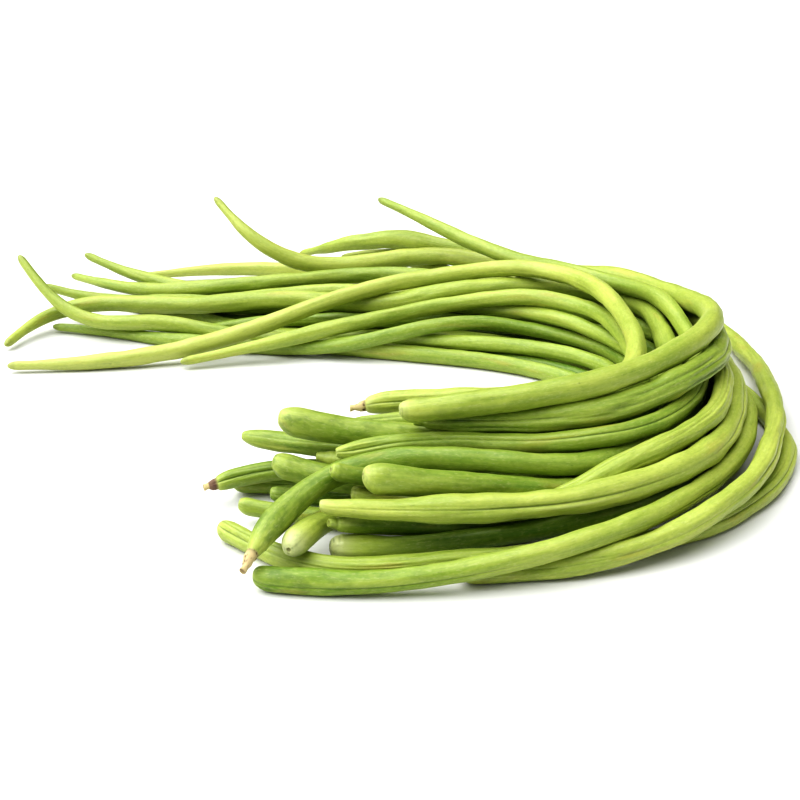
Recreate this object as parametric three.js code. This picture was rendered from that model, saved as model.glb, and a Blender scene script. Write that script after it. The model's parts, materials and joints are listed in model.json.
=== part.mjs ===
// A bunch of yardlong beans lying on a table, bent into a U that is open to the left.
// Millimetres, +Z up. Each pod is one solid, blunt at its stalk end and drawn out to a thin tip.
// The pods are laid out roughly by hand, and settle() then lets them rest on each other and on the table.
import * as THREE from "three";

// ---------- driving dimensions ----------
const SIDES = 8; // faces round a pod
const STEPS = 38; // equal lengths along a pod
const GAP = 0.35; // clearance kept between two pods

const HEAD_FACE = 0.55; // scar where the pod left its stalk, as a share of the pod's radius
const HEAD_SHOULDER = 0.86; // radius share just behind the scar
const HEAD_LENGTH = 4.5; // from the scar to the full radius
const SHOULDER_SHARE = 0.2; // where the shoulder is, as a share of the head's length
const STUB_RADIUS = 1.5; // what is left of the stalk
const STUB_EDGE = 0.3; // rounding of its cut end
const STUB_FLARE = 1; // length over which it widens into the head
const STUB_REACH = 0.7; // room kept at the end of a stub, as a share of the head's radius
const HEAD_SWELL = 55; // stretch behind the head over which it eases into the pod's own thickness
const TIP_TAPER = 75; // the last stretch, which narrows to the tip
const TIP_EARLY = 30; // how far past the tip the taper would go on
const TIP_RADIUS = 1.8;
const TIP_ROUND = 2.4; // length of the rounded end
const RING_ROOM = 1.3; // the plain rings keep this many head or tip lengths away from the ends

// ---------- settling: the pods sink from their layout until they rest on each other ----------
const ROUNDS = 420;
const CALM_ROUNDS = 120; // the last rounds have neither weight nor memory of the layout
const PAIR_ROUNDS = 10; // how often the list of close neighbours is made again
const REACH = 8; // how far apart two stretches may be and still be listed as neighbours
const WEIGHT = 0.04; // how far a pod sinks in a round
const MEMORY = 0.06; // how strongly a pod goes back to its layout
const KEPT_LENGTH = 0.98; // the settled bends are a little straighter than the laid-out ones
const STIFFNESS = 0.25; // how strongly a pod straightens
const CALM_STIFFNESS = 0.05; // the same in the calm rounds
const WAY_SAMPLES = 20; // how finely a way is measured, in samples a step
const NEARLY_ZERO = 1e-6;
const TABLE = 0;

// ---------- the pods ----------
// radius: half the thickness of the pod. head: the same at its head, which may be fatter or thinner.
// stub: length of stalk left on the head.
// way: points that the middle of the pod passes, from its head round the bend to its tip.
const PODS = [
  { name: "pod_top_arch", radius: 4.7, head: 4.4, stub: 0, green: 0x99ba46, way: [
    [-2, -120, 41], [14, -118, 42], [56, -111, 44], [109, -75, 46], [130, -31, 45], [128, 4, 38],
    [111, 37, 31], [79, 88, 26], [42, 123, 24], [21, 133, 24], [-31, 128, 21], [-52, 126, 23],
    [-78, 126, 37], [-96, 145, 54]] },
  { name: "pod_back_crest", radius: 4.1, head: 4.2, stub: 8, green: 0xa2c34f, way: [
    [-18, -89, 29], [4, -82, 32], [31, -91, 33], [65, -88, 35], [86, -76, 36], [95, -31, 40],
    [80, 59, 37], [58, 73, 35], [0, 74, 28], [-47, 57, 20], [-93, 39, 8], [-160, 25, 4],
    [-182, 25, 4]] },
  { name: "pod_under_arch", radius: 5.0, head: 3.0, stub: 8, green: 0x8db03d, way: [
    [3, -113, 31], [9, -112, 33], [21, -114, 35], [56, -114, 35], [112, -81, 40], [131, -31, 39],
    [131, -1, 33], [113, 47, 25], [80, 94, 22], [42, 131, 26], [21, 140, 30], [-3, 150, 31],
    [-48, 178, 15], [-58, 190, 10]] },
  { name: "pod_inner_arch", radius: 3.8, head: 3.8, stub: 0, green: 0x96b743, way: [
    [-19, -126, 27], [-16, -121, 28], [-12, -116, 29], [4, -114, 29], [21, -116, 29],
    [63, -120, 29], [94, -105, 31], [112, -78, 33], [121, -50, 34], [119, -10, 36], [110, 38, 35],
    [94, 60, 34], [59, 88, 35], [40, 102, 38], [21, 123, 43], [-13, 159, 50]] },
  { name: "pod_long_stub", radius: 4.1, head: 5.0, stub: 10, green: 0x92b33f, way: [
    [-48, -180, 9], [-46, -172, 11], [-42, -166, 13], [-38, -156, 17], [-25, -142, 24],
    [-17, -135, 26], [-7, -131, 26], [21, -134, 25], [51, -133, 22], [69, -122, 19], [86, -107, 17],
    [107, -84, 19], [124, -24, 26], [103, 46, 22], [73, 72, 21], [31, 89, 21], [0, 115, 22],
    [-31, 112, 20], [-51, 105, 18], [-103, 111, 12], [-130, 118, 10], [-178, 150, 10]] },
  { name: "pod_blunt_middle", radius: 3.6, head: 3.1, stub: 0, green: 0x87a838, way: [
    [-26, -141, 27], [-19, -141, 27], [-5, -136, 25], [34, -124, 18], [79, -104, 14],
    [103, -80, 16], [113, -50, 19], [111, 7, 19], [96, 36, 16], [67, 54, 14], [-100, 75, 4]] },
  { name: "pod_thick_middle", radius: 4.2, head: 5.2, stub: 0, green: 0x94b541, way: [
    [-14, -145, 29], [-7, -147, 29], [7, -150, 27], [32, -145, 21], [47, -134, 16], [79, -114, 13],
    [103, -89, 14], [123, -29, 19], [105, 40, 14], [75, 63, 12], [37, 73, 12], [-105, 96, 8],
    [-164, 99, 12], [-183, 106, 20]] },
  { name: "pod_bright_front", radius: 4.7, head: 3.2, stub: 0, green: 0xa9ca51, way: [
    [-28, -154, 21], [-18, -156, 21], [0, -158, 22], [26, -154, 22], [53, -152, 21], [67, -143, 20],
    [98, -127, 20], [121, -100, 22], [137, -14, 22], [133, 18, 20], [89, 82, 14], [0, 109, 12],
    [-96, 133, 4]] },
  { name: "pod_wrinkled", radius: 4.0, head: 3.2, stub: 0, green: 0x9cbe47, way: [
    [-19, -138, 18], [0, -136, 14], [27, -141, 12], [46, -137, 18], [64, -131, 22], [84, -121, 26],
    [99, -117, 27], [127, -66, 29], [130, -10, 27], [113, 52, 22], [86, 84, 19], [19, 130, 20],
    [-3, 157, 21], [-27, 171, 14], [-33, 177, 10]] },
  { name: "pod_low_front", radius: 3.4, head: 3.2, stub: 6, green: 0x8aac39, way: [
    [-28, -155, 14], [-20, -155, 14], [-13, -153, 14], [0, -147, 11], [14, -139, 7], [31, -135, 5],
    [50, -131, 4], [79, -122, 4], [105, -96, 4], [120, -29, 4], [119, 5, 4], [103, 40, 4],
    [66, 57, 4], [0, 77, 4], [-65, 102, 4], [-117, 118, 3]] },
  { name: "pod_shaded_front", radius: 3.7, head: 4.2, stub: 0, green: 0x8eaf3b, way: [
    [-24, -159, 6], [-16, -159, 6], [0, -151, 6], [14, -144, 6], [36, -143, 8], [68, -142, 12],
    [99, -123, 14], [124, -82, 14], [127, -29, 12], [126, 18, 12], [109, 52, 10], [82, 73, 8],
    [0, 94, 4], [-42, 112, 4], [-75, 133, 3]] },
  { name: "pod_front_edge", radius: 3.7, head: 4.4, stub: 0, green: 0xa4c64b, way: [
    [-48, -170, 4], [-32, -176, 4], [-16, -179, 4], [0, -174, 5], [20, -174, 9], [38, -172, 12],
    [66, -163, 14], [97, -135, 14], [128, -94, 15], [145, -28, 14], [138, 2, 12], [128, 44, 10],
    [105, 81, 8], [68, 111, 6], [21, 128, 5], [-79, 149, 4]] },
  { name: "pod_floor_outer", radius: 4.1, head: 3.0, stub: 0, green: 0x9cbc45, way: [
    [17, -167, 4], [30, -167, 4], [52, -166, 4], [84, -156, 8], [107, -141, 12], [136, -104, 14],
    [151, -48, 14], [158, -9, 10], [158, 78, 4], [141, 110, 4], [110, 136, 4], [63, 151, 4],
    [10, 157, 4], [-89, 171, 8], [-122, 168, 6], [-145, 160, 4]] },
  { name: "pod_short_head", radius: 3.6, head: 4.3, stub: 0, green: 0x90b13e, way: [
    [-34, -169, 12], [-32, -161, 13], [-26, -146, 15], [-5, -132, 13], [31, -130, 11],
    [79, -112, 9], [106, -56, 6], [104, 0, 4], [90, 22, 4], [60, 37, 4], [31, 49, 4], [-16, 66, 4],
    [-110, 107, 3]] },
  { name: "pod_thick_head", radius: 4.6, head: 5.6, stub: 0, green: 0x97b843, way: [
    [-42, -111, 36], [-37, -115, 35], [-28, -119, 33], [31, -107, 28], [79, -93, 28],
    [100, -76, 30], [108, -50, 30], [110, -21, 30], [113, 39, 30], [102, 63, 27], [77, 71, 27],
    [48, 67, 28], [0, 71, 21], [-26, 73, 17], [-49, 85, 16], [-99, 83, 13], [-168, 93, 10],
    [-179, 77, 7], [-183, 53, 4]] },
  { name: "pod_rear_low", radius: 3.9, head: 4.0, stub: 0, green: 0x93b440, way: [
    [-57, -96, 22], [-36, -103, 20], [31, -102, 12], [63, -92, 8], [82, -73, 4], [89, -45, 4],
    [84, 0, 4], [60, 20, 4], [23, 37, 4], [-42, 52, 4], [-79, 61, 4], [-141, 66, 6], [-159, 74, 10],
    [-178, 82, 27], [-187, 93, 38]] },
  { name: "pod_left_blunt", radius: 4.2, head: 4.6, stub: 0, green: 0x9bbb47, way: [
    [-46, -117, 23], [-39, -121, 22], [-29, -126, 19], [0, -125, 12], [31, -121, 7], [60, -112, 4],
    [79, -103, 4], [108, -50, 5], [112, 0, 4], [96, 24, 4], [60, 47, 4], [31, 58, 4], [0, 70, 4],
    [-50, 93, 6], [-100, 119, 9], [-150, 142, 13], [-172, 150, 24]] },
  { name: "pod_brown_stub", radius: 3.5, head: 3.5, stub: 6, green: 0x8fb03d, way: [
    [-69, -115, 8], [-66, -112, 11], [-41, -102, 12], [31, -109, 8], [73, -92, 5], [97, -45, 9],
    [93, 4, 11], [46, 34, 11], [-42, 59, 4], [-169, 134, 4]] },
  { name: "pod_rear_floor", radius: 3.4, head: 3.3, stub: 0, green: 0x88a939, way: [
    [-64, -104, 5], [-43, -98, 4], [0, -109, 4], [31, -109, 4], [70, -97, 6], [92, -72, 9],
    [100, -3, 17], [66, 52, 19], [47, 48, 17], [0, 40, 10], [-63, 52, 4], [-115, 63, 4],
    [-161, 82, 4], [-173, 78, 4]] },
  { name: "pod_core_floor", radius: 3.4, head: 3.0, stub: 0, green: 0x85a536, way: [
    [-48, -120, 9], [0, -119, 6], [31, -116, 4], [60, -107, 4], [79, -95, 4], [99, -59, 4],
    [96, -12, 4], [80, 14, 4], [60, 28, 4], [31, 41, 4], [0, 53, 4], [-52, 76, 4], [-105, 102, 4],
    [-128, 109, 3]] },
  { name: "pod_left_low", radius: 3.6, head: 3.0, stub: 0, green: 0x8dae3b, way: [
    [-58, -123, 8], [-38, -131, 6], [0, -130, 4], [31, -127, 4], [60, -120, 4], [90, -109, 4],
    [127, -67, 4], [130, 7, 4], [113, 46, 4], [84, 70, 4], [37, 78, 4], [0, 88, 4], [-63, 117, 4],
    [-107, 133, 3]] },
  { name: "pod_outermost", radius: 3.9, head: 3.9, stub: 0, green: 0x9aba44, way: [
    [-62, -134, 5], [-57, -139, 5], [-36, -160, 4], [-18, -165, 4], [0, -165, 4], [15, -161, 4],
    [31, -156, 4], [68, -153, 4], [102, -142, 4], [124, -121, 4], [139, -102, 4], [152, -80, 4],
    [155, -54, 4], [146, 0, 4], [113, 70, 4], [84, 94, 4], [0, 117, 4], [-65, 134, 4]] },
  { name: "pod_green_stub", radius: 3.5, head: 3.2, stub: 6, green: 0x91b23f, way: [
    [-31, -117, 21], [-27, -119, 21], [-19, -121, 21], [0, -118, 21], [75, -98, 21], [104, -50, 21],
    [84, 34, 20], [10, 75, 18], [-147, 106, 4]] },
  { name: "pod_rear_upper", radius: 3.8, head: 3.8, stub: 0, green: 0x95b642, way: [
    [-18, -105, 28], [-11, -103, 29], [31, -102, 30], [86, -75, 26], [100, -29, 26], [96, -3, 26],
    [91, 28, 26], [75, 47, 26], [24, 59, 23], [-28, 47, 14], [-103, 28, 4]] },
];

// The radius of a pod's flesh at a distance from its head and from its tip.
function fleshRadius({ radius, head }, fromHead, toTip) {
  const swell = 1 - THREE.MathUtils.smoothstep(fromHead, 0, HEAD_SWELL);
  const taper = THREE.MathUtils.smoothstep(toTip, -TIP_EARLY, TIP_TAPER);
  return Math.max(TIP_RADIUS, (radius + (head - radius) * swell) * taper);
}

// Lays a pod along its way, as a chain of equal steps.
function layOut({ name, radius, head, stub, green, way }) {
  const curve = new THREE.CatmullRomCurve3(
    way.map(([x, y, z]) => new THREE.Vector3(x, y, Math.max(z, radius))),
    false,
    "centripetal",
  );
  curve.arcLengthDivisions = STEPS * WAY_SAMPLES;
  const places = curve.getSpacedPoints(STEPS);
  const step = curve.getLength() * KEPT_LENGTH / STEPS;
  const reach = places.map((_, i) => fleshRadius({ radius, head }, i * step - stub, (STEPS - i) * step));
  if (stub > 0) reach[0] = head * STUB_REACH;
  return { name, radius, head, stub, green, step, places, layout: places.map((p) => p.clone()), reach };
}

// The shares along two straight stretches at which they come closest.
function closestShares(a0, a1, b0, b1) {
  const along = a1.clone().sub(a0);
  const across = b1.clone().sub(b0);
  const between = a0.clone().sub(b0);
  const aa = along.dot(along);
  const bb = across.dot(across);
  const ab = along.dot(across);
  const ac = along.dot(between);
  const bc = across.dot(between);
  const spread = aa * bb - ab * ab;
  let s = spread > NEARLY_ZERO ? THREE.MathUtils.clamp((ab * bc - ac * bb) / spread, 0, 1) : 0.5;
  const t = THREE.MathUtils.clamp((ab * s + bc) / bb, 0, 1);
  s = THREE.MathUtils.clamp((ab * t - ac) / aa, 0, 1);
  return [s, t];
}

// Lists the pairs of stretches, on two pods, that are near enough to touch soon.
function nearPairs(pods) {
  const stretches = pods.flatMap((pod, podIndex) =>
    pod.places.slice(1).map((place, i) => ({
      pod, podIndex, i, middle: place.clone().add(pod.places[i]).multiplyScalar(0.5),
    })));
  const pairs = [];
  stretches.forEach((a, k) => {
    for (const b of stretches.slice(k + 1)) {
      if (a.podIndex === b.podIndex) continue;
      const limit = (a.pod.step + b.pod.step) / 2 + a.pod.reach[a.i] + b.pod.reach[b.i] + REACH;
      if (a.middle.distanceToSquared(b.middle) < limit * limit) pairs.push([a, b]);
    }
  });
  return pairs;
}

// Moves two stretches apart where they press into each other.
function pushApart([a, b]) {
  const [a0, a1] = [a.pod.places[a.i], a.pod.places[a.i + 1]];
  const [b0, b1] = [b.pod.places[b.i], b.pod.places[b.i + 1]];
  const [s, t] = closestShares(a0, a1, b0, b1);
  const apart = a0.clone().lerp(a1, s).sub(b0.clone().lerp(b1, t));
  const wanted = GAP
    + THREE.MathUtils.lerp(a.pod.reach[a.i], a.pod.reach[a.i + 1], s)
    + THREE.MathUtils.lerp(b.pod.reach[b.i], b.pod.reach[b.i + 1], t);
  const distance = apart.length();
  if (distance >= wanted) return;
  if (distance < NEARLY_ZERO) apart.set(0, 0, 1);
  apart.normalize();
  const share = (wanted - distance) / ((1 - s) ** 2 + s ** 2 + (1 - t) ** 2 + t ** 2);
  a0.addScaledVector(apart, share * (1 - s));
  a1.addScaledVector(apart, share * s);
  b0.addScaledVector(apart, -share * (1 - t));
  b1.addScaledVector(apart, -share * t);
}

// Keeps each step its length, and eases sharp bends.
function holdShape({ places, step }, stiffness) {
  for (let i = 1; i < places.length - 1; i += 1) {
    const straight = places[i - 1].clone().add(places[i + 1]).multiplyScalar(0.5);
    const shift = straight.sub(places[i]).multiplyScalar(stiffness * 0.5);
    places[i].add(shift);
    places[i - 1].addScaledVector(shift, -0.5);
    places[i + 1].addScaledVector(shift, -0.5);
  }
  for (let i = 1; i < places.length; i += 1) {
    const link = places[i].clone().sub(places[i - 1]);
    link.multiplyScalar(0.5 * (1 - step / link.length()));
    places[i - 1].add(link);
    places[i].sub(link);
  }
}

// Lets the pods sink, bend and push each other aside until they lie as a real heap does.
function settle(pods) {
  let pairs = [];
  for (let round = 0; round < ROUNDS; round += 1) {
    const calm = round >= ROUNDS - CALM_ROUNDS;
    if (round % PAIR_ROUNDS === 0) pairs = nearPairs(pods);
    for (const pod of pods) {
      if (!calm) {
        pod.places.forEach((place, i) => {
          place.lerp(pod.layout[i], MEMORY);
          place.z -= WEIGHT;
        });
      }
      holdShape(pod, calm ? CALM_STIFFNESS : STIFFNESS);
    }
    pairs.forEach(pushApart);
    for (const pod of pods) {
      pod.places.forEach((place, i) => {
        place.z = Math.max(place.z, TABLE + pod.reach[i]);
      });
    }
  }
}

// The outline of a pod, as [distance from the head, radius], closed on its axis at both ends.
function outline({ radius, head, stub, step, reach }) {
  const length = STEPS * step;
  const flesh = (along) => fleshRadius({ radius, head }, along - stub, length - along);
  const end = stub > 0
    ? [[0, 0], [STUB_EDGE, STUB_RADIUS], [stub - STUB_FLARE, STUB_RADIUS], [stub, head * HEAD_FACE]]
    : [[0, 0], [0, head * HEAD_FACE]];
  const shoulder = [
    [stub + HEAD_LENGTH * SHOULDER_SHARE, head * HEAD_SHOULDER],
    [stub + HEAD_LENGTH, flesh(stub + HEAD_LENGTH)],
  ];
  const body = reach
    .map((_, i) => [i * step, flesh(i * step)])
    .filter(([along]) => along > stub + HEAD_LENGTH * RING_ROOM && along < length - TIP_ROUND * RING_ROOM);
  const tip = [[length - TIP_ROUND, TIP_RADIUS], [length, TIP_RADIUS * 0.5], [length, 0]];
  return [...end, ...shoulder, ...body, ...tip];
}

// A point on the chain at a distance from the head.
function placeAt({ places, step }, along) {
  const i = Math.min(Math.floor(along / step), places.length - 2);
  return places[i].clone().lerp(places[i + 1], along / step - i);
}

// Turns a straight pod on the lathe, then bends it along its chain without twisting it.
function podGeometry(pod) {
  const rings = outline(pod);
  const geometry = new THREE.LatheGeometry(rings.map(([along, r]) => new THREE.Vector2(r, along)), SIDES);
  const reachAlong = pod.step * 0.5;
  const longest = STEPS * pod.step;
  let side = new THREE.Vector3(0, 0, 1);
  const frames = rings.map(([along]) => {
    const before = placeAt(pod, Math.max(along - reachAlong, 0));
    const after = placeAt(pod, Math.min(along + reachAlong, longest));
    const forward = after.sub(before).normalize();
    side = side.clone().addScaledVector(forward, -side.dot(forward)).normalize();
    return { middle: placeAt(pod, along), side, cross: side.clone().cross(forward) };
  });
  const position = geometry.getAttribute("position");
  for (let i = 0; i < position.count; i += 1) {
    const { middle, side: out, cross } = frames[i % rings.length];
    const point = middle.clone()
      .addScaledVector(out, position.getX(i))
      .addScaledVector(cross, position.getZ(i));
    position.setXYZ(i, point.x, point.y, point.z);
  }
  geometry.computeVertexNormals();
  return geometry;
}

// Moves the whole bunch so that it lies on the table, centred over the origin.
function centre(group) {
  const box = new THREE.Box3().setFromObject(group);
  const middle = box.getCenter(new THREE.Vector3());
  group.position.set(-middle.x, -middle.y, -box.min.z);
}

const pods = PODS.map(layOut);
settle(pods);

const bunch = new THREE.Group();
for (const pod of pods) {
  const skin = new THREE.MeshStandardMaterial({ color: pod.green, roughness: 0.5, metalness: 0 });
  const mesh = new THREE.Mesh(podGeometry(pod), skin);
  mesh.name = pod.name;
  bunch.add(mesh);
}
centre(bunch);

export default bunch;
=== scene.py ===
"""A bunch of yardlong beans lying on a pale table.

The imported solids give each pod's way and thickness. This script grows a detailed pod along each of them,
with its seams, seed swellings, creases, scar or stalk stub and thin tip, dresses it in a waxy green skin,
and sets a soft studio round the bunch. Lengths are in metres where nothing else is said.
"""
import json
import logging
import math
from dataclasses import dataclass
from enum import Enum
from typing import NamedTuple

import bmesh
import bpy
import numpy as np
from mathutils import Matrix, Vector


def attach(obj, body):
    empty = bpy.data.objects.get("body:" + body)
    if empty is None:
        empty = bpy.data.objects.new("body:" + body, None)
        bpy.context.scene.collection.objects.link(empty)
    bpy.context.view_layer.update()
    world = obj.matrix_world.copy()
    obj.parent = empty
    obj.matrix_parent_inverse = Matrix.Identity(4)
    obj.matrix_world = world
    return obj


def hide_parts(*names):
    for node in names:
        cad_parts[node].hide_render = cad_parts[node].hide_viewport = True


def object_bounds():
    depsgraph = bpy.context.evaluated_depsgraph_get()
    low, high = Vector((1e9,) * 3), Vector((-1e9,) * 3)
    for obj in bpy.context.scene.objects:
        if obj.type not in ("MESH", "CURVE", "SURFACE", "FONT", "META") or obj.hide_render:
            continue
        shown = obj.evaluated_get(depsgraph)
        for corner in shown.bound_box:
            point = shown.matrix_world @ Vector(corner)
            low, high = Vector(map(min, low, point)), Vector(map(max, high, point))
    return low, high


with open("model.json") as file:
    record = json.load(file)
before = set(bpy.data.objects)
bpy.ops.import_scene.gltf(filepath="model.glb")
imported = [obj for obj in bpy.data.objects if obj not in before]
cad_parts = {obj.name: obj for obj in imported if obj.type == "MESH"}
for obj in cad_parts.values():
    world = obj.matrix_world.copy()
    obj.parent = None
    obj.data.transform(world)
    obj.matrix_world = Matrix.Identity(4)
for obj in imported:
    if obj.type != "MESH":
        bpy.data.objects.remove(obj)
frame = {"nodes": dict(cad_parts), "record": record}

log = logging.getLogger("bean_bunch")

CAD_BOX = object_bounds()
BODY = "root"
MM = 0.001

AROUND = 56  # faces round a pod
SEAM_CROWDING = 0.45  # how much closer the faces lie at the seam than on average
STEP = 1.7 * MM  # length of a face along a pod
SMOOTHING = 5 * MM  # how far the steps of the solid are eased out along the pod
AHEAD = 2 * MM  # how far ahead and back a pod's direction is taken from
MERGE = 1e-6  # corners closer than this are one
HEAD_PROBE = 14 * MM  # how far from the ends a head is told from a tip
HEAD_LENGTH = 4.5 * MM  # from the end of a solid's flesh to its full thickness
STALK_LIMIT = 1.6 * MM  # the stubs of the solids are thinner than this
NOISE_SHIFT = 0.37  # in metres: how far apart the pods lie in the skin's noises
DRIFT_SEED, RISE_SEED, STRAY_SEED = 100, 200, 300  # added to a pod's seed for its seam and middle line

Array = np.ndarray
Colour = tuple[float, float, float]
Socket = bpy.types.NodeSocket


def wrapped(turn: Array) -> Array:
    """Brings turns into the range from minus pi to pi."""
    return (turn + math.pi) % (2 * math.pi) - math.pi


def bell(offset: Array, width: float) -> Array:
    """Falls from 1 at no offset to about a third at the width, and on to 0."""
    return np.exp(-((offset / width) ** 2))


def add_object(name: str, data: bpy.types.ID) -> bpy.types.Object:
    """Adds an object to the scene.

    Args:
        name: What it is called.
        data: Its mesh, lamp or camera.

    Returns:
        The object.
    """
    thing = bpy.data.objects.new(name, data)
    bpy.context.scene.collection.objects.link(thing)
    return thing


def add_mesh(name: str, shape: bmesh.types.BMesh) -> bpy.types.Object:
    """Adds a finished shape to the scene.

    Args:
        name: What it is called.
        shape: The shape, which is freed.

    Returns:
        The object.
    """
    mesh = bpy.data.meshes.new(name)
    shape.to_mesh(mesh)
    shape.free()
    return add_object(name, mesh)


class Head(Enum):
    """What is at the stalk end of a pod."""

    SCAR = "scar"
    GREEN_STUB = "green stub"
    DRY_STUB = "dry stub"


@dataclass(frozen=True)
class PodLook:
    """What makes one pod differ from the next. Lengths are in millimetres where nothing else is said."""

    head: Head = Head.SCAR
    seam_turn: float = 180.0  # degrees round the pod: 0 is up, -90 faces out of the bend
    seam_depth: float = 0.35
    furrows: tuple[tuple[float, float], ...] = ()  # long creases: degrees from the seam, and depth
    folds: float = 0.10  # depth of the irregular folds of a limp pod
    swelling: float = 0.16  # how far the seeds push the skin out
    wave: float = 0.20  # how far the outline and the middle line waver
    tone: float = 0.5  # 0 for deep green to 1 for pale yellow-green; on some pods also painted light or shade
    head_tone: float = 0.0  # how much paler the head is than the rest, or darker where negative
    head_reach: float = 16.0  # how far along the pod that fades
    mottle: float = 0.3  # how strongly the head is mottled
    nose: float = 0.8  # how far up the scar lies from the middle of the head
    point: float = 1.4  # length of the rounding of the head, in radii
    bulge: float = 0.0  # how far the flesh swells behind the head
    taper: float = 1.08  # above 1 the head is more pointed than half a ball
    rings: float = 1.0  # how clear the rings round the end of the head are
    dark_cap: bool = False  # whether the dry stub has gone dark


POD_LOOKS: dict[str, PodLook] = {
    # tone partly painted light: raised to brighten the bend
    "pod_top_arch": PodLook(seam_turn=-128, folds=0.04, tone=0.66, head_tone=0.3),
    "pod_back_crest": PodLook(Head.DRY_STUB, seam_turn=-78, seam_depth=0.5, tone=0.78, nose=-0.9),
    "pod_under_arch": PodLook(
        Head.GREEN_STUB, seam_turn=-56, seam_depth=0.55, furrows=((-44, 0.55), (30, 0.3)), folds=0.34,
        swelling=0.5, tone=0.56, head_tone=-0.15, wave=0.6, nose=0.0,
    ),
    "pod_inner_arch": PodLook(
        seam_turn=-58, seam_depth=0.6, furrows=((38, 0.2),), tone=0.5, head_tone=0.18, point=2.6,
        taper=1.45,
    ),
    "pod_long_stub": PodLook(
        Head.DRY_STUB, seam_turn=150, seam_depth=0.25, tone=0.4, head_tone=0.2, mottle=0.9, nose=-2.2,
        point=2.8, taper=1.8,
    ),
    "pod_blunt_middle": PodLook(
        seam_turn=120, folds=0.14, tone=0.38, head_tone=0.3, mottle=0.5, rings=1.2,
    ),
    "pod_thick_middle": PodLook(
        seam_turn=20, seam_depth=0.25, furrows=((-60, 0.12),), tone=0.44, head_tone=0.45, nose=1.0,
        point=1.15, rings=1.1, bulge=0.35,
    ),
    "pod_bright_front": PodLook(
        seam_turn=-62, seam_depth=0.75, furrows=((-52, 0.16),), folds=0.08, swelling=0.4, tone=0.76,
        head_tone=0.15, mottle=0.1, wave=0.5, point=2.0, taper=1.3,
    ),
    # tone partly painted light: raised to brighten the bend
    "pod_wrinkled": PodLook(
        seam_turn=-20, furrows=((-30, 0.3), (-58, 0.22), (-84, 0.26)), folds=0.26, swelling=0.36,
        tone=0.7, wave=0.46,
    ),
    "pod_low_front": PodLook(
        Head.GREEN_STUB, seam_turn=-120, seam_depth=0.45, folds=0.14, tone=0.18, head_tone=0.5,
    ),
    # head_tone partly painted light: the head is made pale though the pods above shade it
    "pod_shaded_front": PodLook(
        seam_turn=100, furrows=((-170, 0.15),), tone=0.26, head_tone=1.3, mottle=0.1, nose=0.4, point=1.15,
        rings=1.6, bulge=0.4,
    ),
    # tone partly painted light: raised to brighten the bend
    "pod_front_edge": PodLook(
        seam_turn=-98, seam_depth=0.42, furrows=((-24, 0.15),), folds=0.12, swelling=0.3, tone=0.68,
        head_tone=-0.52, head_reach=55, mottle=0.7,
    ),
    # tone partly painted light: raised to brighten the bend
    "pod_floor_outer": PodLook(
        seam_turn=-60, seam_depth=0.5, furrows=((-40, 0.3),), folds=0.22, wave=0.35, tone=0.74,
        head_tone=-0.2,
    ),
    "pod_short_head": PodLook(
        seam_turn=150, furrows=((140, 0.18),), tone=0.6, head_tone=0.7, mottle=0.2, nose=-0.6, point=1.3,
        rings=0.5, bulge=0.5,
    ),
    "pod_thick_head": PodLook(
        seam_turn=140, swelling=0.24, tone=0.62, head_tone=0.25, mottle=0.7, rings=1.5,
    ),
    "pod_rear_low": PodLook(
        seam_turn=-40, seam_depth=0.3, furrows=((-50, 0.2),), tone=0.5, head_tone=0.1, nose=0.2, point=2.8,
        taper=1.6,
    ),
    "pod_left_blunt": PodLook(
        seam_turn=150, furrows=((100, 0.25),), folds=0.16, tone=0.5, head_tone=0.1, mottle=0.6,
    ),
    "pod_brown_stub": PodLook(
        Head.DRY_STUB, seam_turn=-66, seam_depth=0.6, furrows=((34, 0.25),), folds=0.16, tone=0.6,
        nose=-0.8, dark_cap=True,
    ),
    "pod_rear_floor": PodLook(seam_turn=-64, furrows=((30, 0.2),), tone=0.44, head_tone=0.2),
    # tone partly painted shade: this low pod is darkened where the gaps among the others fall dark
    "pod_core_floor": PodLook(seam_turn=-70, furrows=((40, 0.2),), tone=0.2, head_tone=0.2),
    "pod_left_low": PodLook(seam_turn=-68, seam_depth=0.5, folds=0.14, tone=0.62, head_tone=0.1),
    # tone partly painted light: raised to brighten the bend
    "pod_outermost": PodLook(
        seam_turn=-58, seam_depth=0.55, furrows=((44, 0.3),), folds=0.2, wave=0.35, tone=0.8,
        head_tone=0.1,
    ),
    "pod_green_stub": PodLook(Head.GREEN_STUB, seam_turn=130, tone=0.56, head_tone=0.1),
    "pod_rear_upper": PodLook(seam_turn=-40, seam_depth=0.4, tone=0.6),
}


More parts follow.
